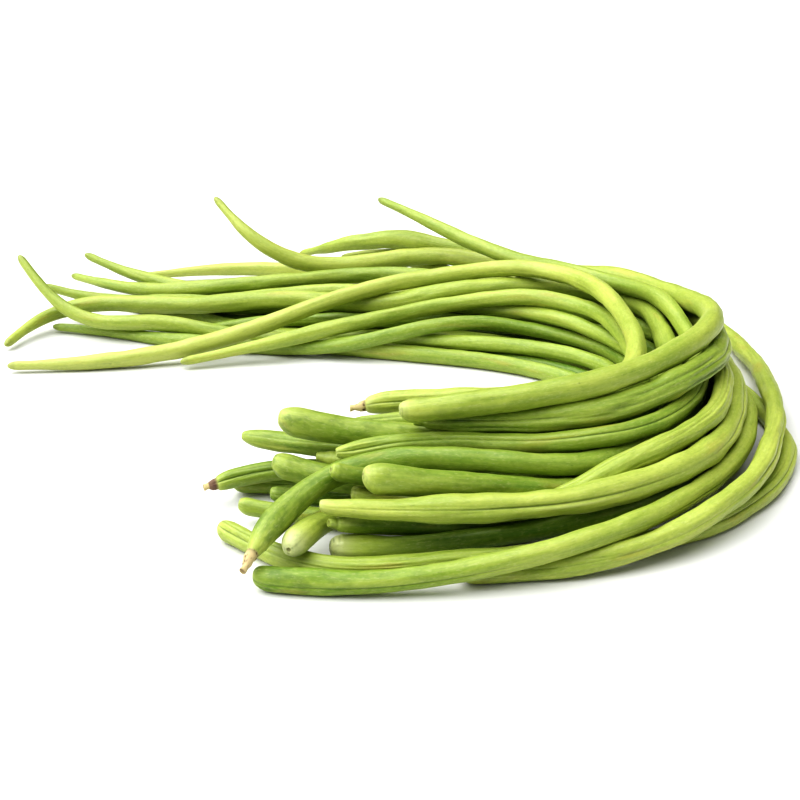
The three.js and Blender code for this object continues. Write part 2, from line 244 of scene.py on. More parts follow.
class Grain:
    """Smooth random variation along and round a pod, the same on every run."""

    def __init__(self, seed: int) -> None:
        """Starts the variation from a seed."""
        self.random = np.random.default_rng(seed)

    @staticmethod
    def _ease(share: Array) -> Array:
        """Turns a straight share from 0 to 1 into a smooth one."""
        return share * share * (3 - 2 * share)

    def along(self, place: Array, step: float) -> Array:
        """Varies along the pod only.

        Args:
            place: Distances along the pod.
            step: Distance over which the value changes.

        Returns:
            Values from -1 to 1, one for each place.
        """
        cells = place / step
        low = np.floor(cells).astype(int)
        knots = self.random.uniform(-1, 1, low.max() + 2)
        share = self._ease(cells - low)
        return knots[low] * (1 - share) + knots[low + 1] * share

    def over(self, place: Array, turn: Array, step: float, cells_round: int) -> Array:
        """Varies along and round the pod.

        Args:
            place: Distances along the pod.
            turn: Turns round the pod, in radians.
            step: Distance along the pod over which the value changes.
            cells_round: How many times it can change on the way round.

        Returns:
            Values from -1 to 1, one for each pair of place and turn.
        """
        rows = place / step
        low = np.floor(rows).astype(int)
        knots = self.random.uniform(-1, 1, (low.max() + 2, cells_round))
        row_share = self._ease(rows - low)
        columns = (turn / (2 * math.pi) % 1.0) * cells_round
        left = np.floor(columns).astype(int) % cells_round
        right = (left + 1) % cells_round
        column_share = self._ease(columns - np.floor(columns))
        first = knots[low, left] * (1 - column_share) + knots[low, right] * column_share
        second = knots[low + 1, left] * (1 - column_share) + knots[low + 1, right] * column_share
        return first * (1 - row_share) + second * row_share


@dataclass
class Way:
    """The middle line of a pod and its thickness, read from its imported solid."""

    middles: Array  # points of the middle line, from the head to the tip
    radii: Array  # the solid's radius at each of them

    @classmethod
    def from_node(cls, node: bpy.types.Object) -> "Way":
        """Reads the way of a pod from its solid, ring by ring.

        Args:
            node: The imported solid: rings of corners between a point at each end.

        Returns:
            The way, with its thick end first.
        """
        solid = bmesh.new()
        solid.from_mesh(node.data)
        bmesh.ops.remove_doubles(solid, verts=solid.verts, dist=MERGE * 10)
        solid.verts.ensure_lookup_table()
        one_end = cls._rings(solid.verts[0])[-1][0]
        rings = cls._rings(one_end)
        middles = np.array([np.mean([v.co for v in ring], axis=0) for ring in rings])
        radii = np.array([
            np.mean([(v.co - Vector(middle)).length for v in ring]) for ring, middle in zip(rings, middles)
        ])
        solid.free()
        way = cls(middles, radii)
        near_start, near_end = np.interp([HEAD_PROBE, way.length - HEAD_PROBE], way.distances, radii)
        return way if near_start > near_end else cls(middles[::-1], radii[::-1])

    @staticmethod
    def _rings(start: bmesh.types.BMVert) -> list[list[bmesh.types.BMVert]]:
        """Walks over a solid from one corner.

        Args:
            start: The corner to start from.

        Returns:
            The corners in rings, each one edge further from the start.
        """
        seen = {start}
        rings = [[start]]
        while True:
            ring = []
            for corner in rings[-1]:
                for edge in corner.link_edges:
                    other = edge.other_vert(corner)
                    if other not in seen:
                        seen.add(other)
                        ring.append(other)
            if not ring:
                return rings
            rings.append(ring)

    @property
    def distances(self) -> Array:
        """How far along the pod each middle is."""
        steps = np.linalg.norm(np.diff(self.middles, axis=0), axis=1)
        return np.concatenate([[0.0], np.cumsum(steps)])

    @property
    def length(self) -> float:
        """The length of the pod."""
        return float(self.distances[-1])

    @property
    def stub_length(self) -> float:
        """The length of the thin stub before the head, or zero."""
        return float(self.distances[int(np.argmax(self.radii > STALK_LIMIT))])

    def flesh(self, along: Array) -> Array:
        """Finds the radius of the flesh at each distance, as if the head had no rounding."""
        full = self.distances > self.stub_length + HEAD_LENGTH * 0.98  # just before the first full ring
        return np.interp(along, self.distances[full], self.radii[full])

    def places(self, along: Array) -> Array:
        """Finds points on a smooth line through the middles.

        Args:
            along: Distances from the head.

        Returns:
            One point for each distance.
        """
        distances = self.distances
        keep = np.concatenate([[True], np.diff(distances) > 0.1 * MM])
        knots, points = distances[keep], self.middles[keep]
        slopes = np.gradient(points, knots, axis=0)
        cell = np.clip(np.searchsorted(knots, along, side="right") - 1, 0, len(knots) - 2)
        span = (knots[cell + 1] - knots[cell])[:, None]
        share = (along - knots[cell])[:, None] / span
        start, end = points[cell], points[cell + 1]
        start_slope, end_slope = slopes[cell] * span, slopes[cell + 1] * span
        return (
            start * (2 * share**3 - 3 * share**2 + 1)
            + start_slope * (share**3 - 2 * share**2 + share)
            + end * (3 * share**2 - 2 * share**3)
            + end_slope * (share**3 - share**2)
        )


class Row(NamedTuple):
    """One ring of a pod's skin."""

    along: float  # distance from the end of the pod, or of its stub
    out: float  # radius
    dry: float = 0.0  # 1 on dried stalk, 0 on living skin
    scar: float = 0.0  # 1 in a scar or a cut, below 0 on its raised rim


@dataclass(frozen=True)
class Mark:
    """A long mark in the skin, which fades on both sides."""

    width: float  # in radians, to where it has fallen to about a third
    depth: float  # in shares of its strength; below 0 it is raised
    shade: float  # how much painted shade it gives as a crease, or below 0 painted highlight as a ridge
    aside: float = 0.0  # how far beside its line it lies, in radians


GROOVE = Mark(width=0.085, depth=0.55, shade=1.6)
VALLEY = Mark(width=0.40, depth=0.60, shade=0.0)
LIP = Mark(width=0.15, depth=-0.30, shade=-0.7, aside=-0.27)
BACK_GROOVE = Mark(width=0.13, depth=0.30, shade=0.5, aside=math.pi)
FURROW = Mark(width=0.12, depth=1.0, shade=1.9)
FURROW_LIP = Mark(width=0.17, depth=-0.35, shade=-0.45, aside=-0.26)

SCAR_SHAPE = (  # from the middle outwards: how far down and out each row is, and how scarred
    (1.1, 0.0, 0.8), (1.2, 0.4, 1.0), (1.0, 0.75, 0.9), (0.3, 1.0, 0.3), (0.0, 1.3, -0.3), (0.1, 1.6, -0.4),
    (0.5, 1.9, 0.0),
)


@dataclass
class Relief:
    """The seams, swellings, folds and rings of one pod's skin. Heights and depths are in millimetres.

    The steps draw on the same random variation, so they are always taken in the same order.
    """

    look: PodLook
    grain: Grain
    along: Array  # distance from the end of the pod, for each corner
    from_seam: Array  # turn from the seam, from minus pi to pi, for each corner
    stub: float  # length of the stub
    head_radius: float  # radius of the flesh at the head
    seed_spacing: float = 19 * MM
    fold_share: float = 1.5  # depth of the folds, in shares of the pod's own
    fold_shade: float = 1.6  # how much painted crease shade they give
    broad_bumps: float = 0.19
    small_bumps: float = 0.09
    ribs: float = 0.05
    limp_ribs: float = 0.35  # what folds add to the ribs
    sunk: float = 0.06  # makes room for what stands out
    pucker_height: float = 0.30
    pucker_reach: float = 7 * MM
    ring_height: float = 0.22
    ring_spacing: float = 2.3 * MM
    ring_reach: float = 3.6 * MM
    bulge_place: float = 9 * MM
    bulge_width: float = 8 * MM
    lump_height: float = 0.34

    def __post_init__(self) -> None:
        """Starts with a smooth skin and works in everything on it but a stalk's lumps."""
        self.moved = np.zeros_like(self.along)
        # crease: how deep each corner lies in a crease, painted as shade, and below 0 how high on a ridge,
        # painted as highlight
        self.crease = np.zeros_like(self.along)
        self.from_flesh = np.maximum(self.along - self.stub, 0)
        self.cut_seams()
        self.cut_furrows()
        self.swell()
        self.fold()
        self.roughen()
        self.pucker()
        self.ring()
        self.bulge()

    def vary(self, step: float) -> Array:
        """Varies along the pod, from -1 to 1, for each corner."""
        return self.grain.along(self.along, step)

    def vary_round(self, step: float, cells: int) -> Array:
        """Varies along and round the pod, from -1 to 1, for each corner."""
        return self.grain.over(self.along, self.from_seam, step, cells)

    def press(self, mark: Mark, strength: Array, line: Array | float = 0.0) -> None:
        """Presses a mark into the skin, or raises it, and adds its painted shade, or painted highlight
        where it is raised.

        Args:
            mark: The mark.
            strength: Its strength, in millimetres, for each corner.
            line: Turn of its line from the seam, in radians.
        """
        shape = strength * bell(wrapped(self.from_seam - line - mark.aside), mark.width)
        self.moved -= mark.depth * shape
        self.crease += mark.shade * shape

    def cut_seams(self) -> None:
        """Cuts the seam, a groove in a shallow valley with a lip beside it, and the fainter seam behind."""
        strength = self.look.seam_depth * np.clip(0.72 + 0.60 * self.vary(34 * MM), 0.15, 1.2)
        self.press(GROOVE, strength)
        self.press(VALLEY, strength)
        self.press(LIP, strength * np.clip(0.5 + 0.8 * self.vary(28 * MM), 0, 1))
        self.press(BACK_GROOVE, strength)

    def cut_furrows(self) -> None:
        """Cuts the pod's further long creases, which wander and come and go."""
        for turn, depth in self.look.furrows:
            line = math.radians(turn) + 0.12 * self.vary(40 * MM)
            strength = depth * np.clip(0.55 + 0.75 * self.vary(45 * MM), 0, 1)
            self.press(FURROW, strength, line)
            self.press(FURROW_LIP, strength, line)

    def swell(self) -> None:
        """Pushes the skin out over the seeds, most on the pod's two sides."""
        beat = self.along / self.seed_spacing + 0.25 * self.vary(30 * MM)
        seeds = (0.5 + 0.5 * np.cos(2 * math.pi * beat)) * (0.6 + 0.4 * self.vary(20 * MM))
        sides = 0.55 - 0.45 * np.cos(2 * self.from_seam)
        self.moved += self.look.swelling * seeds * sides

    def fold(self) -> None:
        """Folds the skin of a limp pod along the zero lines of a noise."""
        folds = bell(self.vary_round(30 * MM, 13), 0.18)
        folds *= np.clip(0.3 + 0.9 * self.vary_round(24 * MM, 5), 0, 1)
        self.moved -= self.look.folds * self.fold_share * folds
        # painted shade in the folds
        self.crease += self.look.folds * self.fold_shade * folds

    def roughen(self) -> None:
        """Makes the skin uneven and lets the outline waver."""
        self.moved += self.broad_bumps * self.vary_round(11 * MM, 5)
        self.moved += self.look.wave * (0.6 * self.vary(24 * MM) + 0.4 * self.vary(13 * MM))
        self.moved += self.small_bumps * self.vary_round(5 * MM, 12)
        self.moved += (self.ribs + self.limp_ribs * self.look.folds) * self.vary_round(17 * MM, 17)
        self.moved -= self.sunk

    def pucker(self) -> None:
        """Puckers the skin round the head."""
        puckers = self.vary_round(9 * MM, 11) * np.exp(-self.from_flesh / self.pucker_reach)
        self.moved += self.pucker_height * puckers
        # painted highlight on the raised puckers and painted shade in the sunk ones
        self.crease -= 0.45 * puckers

    def ring(self) -> None:
        """Lays patchy rings round the end of the head, evenly spaced over its rounding."""
        rounding = self.look.point * self.head_radius
        over_dome = rounding * np.arccos(1 - np.clip(self.from_flesh / rounding, 0, 1))
        walked = over_dome + np.maximum(self.from_flesh - rounding, 0)
        patchy = np.clip(0.45 + 0.9 * self.vary_round(30 * MM, 5), 0, 1)
        rings = self.look.rings * patchy * np.cos(2 * math.pi * walked / self.ring_spacing)
        rings *= np.exp(-walked / self.ring_reach)
        self.moved += self.ring_height * rings
        # painted shade in the grooves between the rings of a head with a scar
        if self.stub < MM:
            self.crease -= 0.9 * np.minimum(rings, 0)

    def bulge(self) -> None:
        """Lets the flesh bulge just behind the head."""
        self.moved += self.look.bulge * bell(self.from_flesh - self.bulge_place, self.bulge_width)

    def lumps(self) -> Array:
        """Works out the lumps of a stalk, which come last, for each corner."""
        return self.lump_height * self.vary_round(1.6 * MM, 4)


@dataclass
class Pod:
    """One pod of the bunch, with its stalk stub or scar."""

    name: str  # the node that it stands for
    way: Way
    look: PodLook
    seed: int  # starts its random variation
    scar_radius: float = 0.75 * MM
    scar_depth: float = 0.28 * MM
    stub_radius: float = 1.7 * MM
    knob_radius: float = 2.1 * MM
    stalk_share: float = 0.55  # how much of a solid's stub is stalk; the rest is the pod's neck
    stalk_step: float = 0.7 * MM  # between the rows of a stalk
    dome_rows: int = 20
    green_dome: float = 2.2  # length of the rounding behind a green stalk, in radii
    tip_radius: float = 1.75 * MM
    tip_slope: float = 0.075
    tip_fullness: float = 0.5 * MM  # how much fuller than the solid the pod is behind its tip
    tip_fullest: float = 25 * MM  # how far from the tip that is
    tip_rows: int = 4
    seam_drift: float = 16.0  # in degrees
    relief_radius: float = 3.5 * MM  # where the relief is as high as stated; it is lower on thin parts
    end_tone: float = 0.34  # how much paler the head's very end is
    end_reach: float = 3.5 * MM
    tipward_painted_light: float = 0.30  # painted light: how much paler the tip is than the head, so the far arm looks more brightly lit
    cap_start: float = 0.3  # as a share of the stub
    mottle_reach: float = 45 * MM

    @property
    def head_radius(self) -> float:
        """Radius of the flesh where the head starts."""
        return float(self.way.flesh(self.way.stub_length))

    def scar_rows(self) -> list[Row]:
        """Shapes a head that ends in a scar: a small pit with a raised rim.

        Returns:
            Its rows, from the middle of the scar.
        """
        rows = [
            Row(self.scar_depth * down, self.scar_radius * out, scar=mark)
            for down, out, mark in SCAR_SHAPE
        ]
        return rows + self.dome(rows[-1], self.head_radius * self.look.point)

    def stub_rows(self) -> list[Row]:
        """Shapes a head with a stalk: a green one widens into the flesh, a dried one sits on a knob.

        Returns:
            Its rows, from the middle of the stalk's end.
        """
        dry = 1.0 if self.look.head is Head.DRY_STUB else 0.0
        stub, knob = self.stub_radius, self.knob_radius
        rows = [
            Row(0.5 * MM, 0.0, dry, 0.8),
            Row(0.3 * MM, stub * 0.4, dry, 0.6),
            Row(0.0, stub * 0.65, dry, 0.2),
        ]
        length = self.way.stub_length
        neck = length * self.stalk_share
        count = max(4, int(length / self.stalk_step))
        for k in range(1, count):
            share = k / count
            if dry:
                waist = 0.75 + 0.40 * share - 0.18 * math.sin(math.pi * share)
            else:
                waist = 0.85 + 0.40 * share**1.5
            rows.append(Row(neck * share, stub * waist, dry))
        if not dry:
            foot = Row(neck, stub * 1.27)
            return rows + self.dome(foot, length - neck + self.head_radius * self.green_dome)
        rows += [
            Row(neck + 0.3 * MM, stub * 1.18, dry, 0.1),
            Row(neck + 0.8 * MM, knob, dry, 0.3),
            Row(neck + 1.3 * MM, knob * 0.99, dry * 0.7, 0.6),
            Row(neck + 1.8 * MM, knob * 1.04, dry * 0.4, 0.2),
        ]
        return rows + self.dome(rows[-1], length - neck + self.head_radius * self.look.point)

    def dome(self, start: Row, depth: float) -> list[Row]:
        """Rounds the head from its middle part to the full thickness.

        Args:
            start: The row at which the dome starts.
            depth: Length of the dome.

        Returns:
            Its rows.
        """
        rows = []
        full = float(self.way.flesh(start.along + depth))
        for k in range(1, self.dome_rows + 1):
            angle = 0.5 * math.pi * k / self.dome_rows
            place = start.along + depth * (1 - math.cos(angle))
            rows.append(Row(place, start.out + (full - start.out) * math.sin(angle) ** self.look.taper))
        return rows

    def outline(self) -> Array:
        """Works out the rows of the whole pod, from the stalk end to the tip.

        Returns:
            Four lists, with the rows' values in the order of Row.
        """
        rows = self.scar_rows() if self.look.head is Head.SCAR else self.stub_rows()
        length = self.way.length
        start = rows[-1].along
        count = int((length - start) / STEP)
        body = np.linspace(start, length, count + 1)[1:-3]  # the rounding of the tip comes after these
        to_tip = length - body
        fuller = self.tip_fullness * bell(to_tip - self.tip_fullest, self.tip_fullest)
        thickness = np.minimum(self.way.flesh(body) + fuller, self.tip_radius + to_tip * self.tip_slope)
        rows += [Row(place, out) for place, out in zip(body, thickness)]
        last = rows[-1]
        for k in range(1, self.tip_rows):
            angle = 0.5 * math.pi * k / self.tip_rows
            place = last.along + (length - last.along) * math.sin(angle)
            rows.append(Row(place, last.out * math.cos(angle), scar=0.4))
        rows.append(Row(length, 0.0, scar=0.4))
        return np.array(rows).T

    def frames(self, along: Array) -> tuple[Array, Array, Array]:
        """Finds the middle and two directions across the pod at each row, without twist.

        Args:
            along: Distance of each row from the end.

        Returns:
            The middles, the directions that start upwards, and those across them.
        """
        limit = self.way.length
        offsets = np.array([-1.0, -0.5, 0.0, 0.5, 1.0]) * SMOOTHING
        weights = np.array([1, 4, 6, 4, 1]) / 16
        room = np.minimum(1.0, np.minimum(along, limit - along) / SMOOTHING)
        middles = sum(
            weight * self.way.places(np.clip(along + offset * room, 0, limit))
            for offset, weight in zip(offsets, weights)
        )
        ahead = self.way.places(np.clip(along + AHEAD, 0, limit))
        ahead -= self.way.places(np.clip(along - AHEAD, 0, limit))
        ahead /= np.linalg.norm(ahead, axis=1)[:, None]
        up = np.array([0.0, 0.0, 1.0])
        ups = []
        for direction in ahead:
            up = up - direction * up.dot(direction)
            up /= np.linalg.norm(up)
            ups.append(up)
        return middles, np.array(ups), np.cross(ups, ahead)

    def relief(self, along: Array, from_seam: Array, thickness: Array) -> tuple[Array, Array]:
        """Works out how far the skin stands out or sinks in at each corner.

        Args:
            along: Distance from the end.
            from_seam: Turn from the seam, from minus pi to pi.
            thickness: Radius of the row.

        Returns:
            How far it moves out, and how deep in a crease it lies, from -1 on a ridge to 1, for painted
            shade and highlight.
        """
        stub = self.way.stub_length
        relief = Relief(self.look, Grain(self.seed), along, from_seam, stub, self.head_radius)
        flesh = np.maximum(self.way.flesh(along), MM)
        fullness = np.clip(thickness / flesh, 0, 1) * np.clip(thickness / self.relief_radius, 0, 1.2)
        on_stalk = (along < stub * self.stalk_share) & (thickness > 0)
        moved = relief.moved * fullness**1.5 + relief.lumps() * on_stalk
        return moved * MM, np.clip(relief.crease, -1, 1)

    def build(self) -> bpy.types.Object:
        """Rolls a grid into the pod's skin and merges it into one closed mesh.

        Returns:
            The pod, in place.
        """
        row_along, row_out, row_dry, row_scar = self.outline()
        last = len(row_along) - 1
        skin = bmesh.new()
        skin.loops.layers.uv.new("UVMap")
        bmesh.ops.create_grid(skin, x_segments=last, y_segments=AROUND, size=0.5, calc_uvs=True)
        corners = np.array([v.co for v in skin.verts])
        row = np.rint((corners[:, 0] + 0.5) * last).astype(int)
        column = corners[:, 1] * 2 * math.pi
        from_seam = column - SEAM_CROWDING * np.sin(column)
        along, thickness = row_along[row], row_out[row]
        moved, crease = self.relief(along, from_seam, thickness)
        out = np.maximum(thickness + moved * (thickness > 0), 0.0)
        turn = from_seam + self.seam_place(row_along)[row]
        rise, stray = out * np.cos(turn), out * np.sin(turn)
        middles, ups, sides = self.frames(row_along)
        off_up = self.nose_shift(row_along) + self.waver(row_along, RISE_SEED)
        off_side = self.waver(row_along, STRAY_SEED)
        places = middles[row] + ups[row] * (rise + off_up[row])[:, None]
        places += sides[row] * (stray + off_side[row])[:, None]
        places = np.clip(places, np.array(CAD_BOX[0]), np.array(CAD_BOX[1]))
        straight = np.stack([along, rise, stray], axis=1) + self.seed * NOISE_SHIFT
        self.store(skin, places, straight, self.layers(along, row_dry[row], row_scar[row], crease))
        bmesh.ops.remove_doubles(skin, verts=skin.verts, dist=MERGE)
        bmesh.ops.recalc_face_normals(skin, faces=skin.faces)
        for face in skin.faces:
            face.smooth = True
        return add_mesh(self.name + "_skin", skin)

    def layers(self, along: Array, dry: Array, scar: Array, crease: Array) -> dict[str, Array]:
        """Works out what the skin's material reads from the mesh, for each corner.

        Args:
            along: Distance from the end.
            dry: 1 on dried stalk, 0 on living skin.
            scar: 1 in a scar, below 0 on its rim.
            crease: How deep in a crease it lies, for painted shade and highlight.

        Returns:
            The values, by the name of their layer.
        """
        on_cap = (along > self.way.stub_length * self.cap_start) * self.look.dark_cap
        return {
            # crease carries painted shade in creases and painted highlight on ridges
            "crease": crease * (1 - dry),
            "dry": dry,
            "cap": dry * on_cap,
            "scar": scar,
            "tone": self.tone(along),
            "mottle": self.look.mottle * np.exp(-along / self.mottle_reach),
        }

    @staticmethod
    def store(skin: bmesh.types.BMesh, places: Array, straight: Array, layers: dict[str, Array]) -> None:
        """Moves the corners of the grid into place and writes the material's layers.

        Args:
            skin: The grid.
            places: The place of each corner.
            straight: Its place on the straightened pod.
            layers: Its values, by the name of their layer.
        """
        stores = {name: skin.verts.layers.float.new(name) for name in layers}
        straight_store = skin.verts.layers.float_vector.new("straight")
        for index, corner in enumerate(skin.verts):
            corner.co = places[index]
            corner[straight_store] = straight[index]
            for name, store in stores.items():
                corner[store] = layers[name][index]

    def seam_place(self, along: Array) -> Array:
        """Finds the turn of the seam, in radians from upwards, row by row."""
        drift = self.seam_drift * Grain(self.seed + DRIFT_SEED).along(along, 70 * MM)
        return np.radians(self.look.seam_turn + drift)

    def nose_shift(self, along: Array) -> Array:
        """Sets the scar or the stub a little off the middle of the head, row by row."""
        close = np.clip(1 - along / (self.way.stub_length + 6 * MM), 0, 1)
        return self.look.nose * MM * close**2

    def waver(self, along: Array, seed: int) -> Array:
        """Lets the middle line stray a little from that of the solid, row by row."""
        return self.look.wave * MM * Grain(self.seed + seed).along(along, 26 * MM)

    def tone(self, along: Array) -> Array:
        """Works out how pale the skin is: palest at the head's very end, and towards the tip as painted
        light.

        Args:
            along: Distances from the end.

        Returns:
            0 for deep green to 1 for pale yellow-green, and more for the palest heads.
        """
        from_flesh = np.maximum(along - self.way.stub_length, 0)
        head = self.look.head_tone * np.exp(-from_flesh / (self.look.head_reach * MM))
        end = self.end_tone * np.exp(-from_flesh / self.end_reach)
        # painted light: paler towards the tip, as if the far arm of the bunch were more brightly lit
        tipward_painted_light = self.tipward_painted_light * (along / self.way.length - 0.35)
        return np.clip(self.look.tone + 0.06 + head + end + tipward_painted_light, 0, 1.6)


# painted shade in creases, and also the colour of the dark dashes
CREASE_SHADE_AND_DASH_COLOUR = (0.022, 0.070, 0.002)
# painted highlight on ridges, and also the colour of the pale flecks
RIDGE_HIGHLIGHT_AND_FLECK_COLOUR = (0.570, 0.590, 0.280)
PALE_COLOUR = (0.590, 0.620, 0.320)
MOTTLE_COLOUR = (0.050, 0.120, 0.006)
BLUSH_COLOUR = (0.450, 0.330, 0.075)
SCAR_COLOUR = (0.170, 0.170, 0.055)
RIM_COLOUR = (0.520, 0.540, 0.260)
DRY_COLOUR = (0.570, 0.470, 0.240)
BARK_COLOUR = (0.085, 0.040, 0.018)
CAP_COLOUR = (0.130, 0.060, 0.050)


@dataclass(frozen=True)
class Noise:
    """A noise on the straightened pod, and the share that it gives."""

    label: str
    scale: tuple[float, float, float]  # changes per metre along, up and across the pod
    detail: float  # how many finer layers it has
    low: float = 0.0  # the noise's value at which the share starts
    high: float = 1.0  # the value at which the share is full
    start: float = 0.0  # the share at the start
    full: float = 1.0  # the share when full


PATCHES = Noise("soft patches", (24, 150, 150), 3, 0.30, 0.70, -0.16, 0.14)
STREAKS = Noise("fine streaks", (60, 1500, 1500), 3, 0.35, 0.65, -0.05, 0.05)
BANDS = Noise("broad streaks", (16, 420, 420), 2, 0.35, 0.65, -0.06, 0.05)
FINE_GRAIN = Noise("fine grain", (480, 800, 800), 4, 0.32, 0.68, -0.06, 0.06)
MOTTLES = Noise("mottled head", (170, 260, 260), 4, 0.44, 0.66, full=0.75)
BLUSHES = Noise("blushes", (34, 190, 190), 2, 0.60, 0.78, full=0.34)
FLECKS = Noise("pale flecks", (520, 1700, 1700), 2, 0.54, 0.72, full=0.20)
DASHES = Noise("dark dashes", (380, 1500, 1500), 2, 0.54, 0.70, full=0.12)
SPECKS = Noise("dark specks", (420, 700, 700), 1, 0.72, 0.84, full=0.30)
BARK = Noise("bark of a dry stalk", (500, 900, 900), 4, 0.52, 0.74)
WAX = Noise("uneven wax", (120, 500, 500), 3, 0.30, 0.70, -0.07, 0.09)
PORES = Noise("pores", (900, 1800, 1800), 2)


def fill(node: bpy.types.Node, settings: dict[str, float | tuple]) -> None:
    """Sets a node's own sockets, each by its name."""
    for name, value in settings.items():
        node.inputs[name].default_value = value


class NodeSheet:
    """Adds and joins shader nodes in one tree."""

    def __init__(self, tree: bpy.types.NodeTree) -> None:
        """Starts with an empty tree."""
        self.tree = tree
        self.tree.nodes.clear()

    def add(self, kind: str, label: str = "", **settings: object) -> bpy.types.Node:
        """Adds a node.

        Args:
            kind: Blender's name for the node.
            label: What it is for.
            **settings: Properties of the node.

        Returns:
            The node.
        """
        node = self.tree.nodes.new(kind)
        node.label = label
        for key, value in settings.items():
            setattr(node, key, value)
        return node

    def join(self, start: Socket, end: Socket) -> None:
        """Joins an output to an input."""
        self.tree.links.new(start, end)

    def ranged(self, value: Socket, low: float, high: float, to_low: float, to_high: float) -> Socket:
        """Maps a range of values to another, smoothly.

        Args:
            value: The value.
            low: Start of its range.
            high: End of its range.
            to_low: Result at the start.
            to_high: Result at the end.

        Returns:
            The mapped value.
        """
        node = self.add("ShaderNodeMapRange", interpolation_type="SMOOTHSTEP")
        fill(node, {"From Min": low, "From Max": high, "To Min": to_low, "To Max": to_high})
        self.join(value, node.inputs["Value"])
        return node.outputs["Result"]

    def maths(self, operation: str, first: Socket, second: Socket | float, clamp: bool = False) -> Socket:
        """Combines two values.

        Args:
            operation: Blender's name for the sum.
            first: The first value.
            second: The second value, or a number.
            clamp: Whether the result stays from 0 to 1.

        Returns:
            The result.
        """
        node = self.add("ShaderNodeMath", operation=operation, use_clamp=clamp)
        self.join(first, node.inputs[0])
        if isinstance(second, (int, float)):
            node.inputs[1].default_value = second
        else:
            self.join(second, node.inputs[1])
        return node.outputs[0]

    def mix(self, share: Socket, first: Socket | Colour, second: Socket | Colour) -> Socket:
        """Mixes two colours.

        Args:
            share: How much of the second there is.
            first: A colour, or the output that gives it.
            second: The same.

        Returns:
            The mixed colour.
        """
        node = self.add("ShaderNodeMix", data_type="RGBA")
        self.join(share, node.inputs["Factor"])
        for value, socket in ((first, node.inputs[6]), (second, node.inputs[7])):
            if isinstance(value, tuple):
                socket.default_value = (*value, 1.0)
            else:
                self.join(value, socket)
        return node.outputs[2]


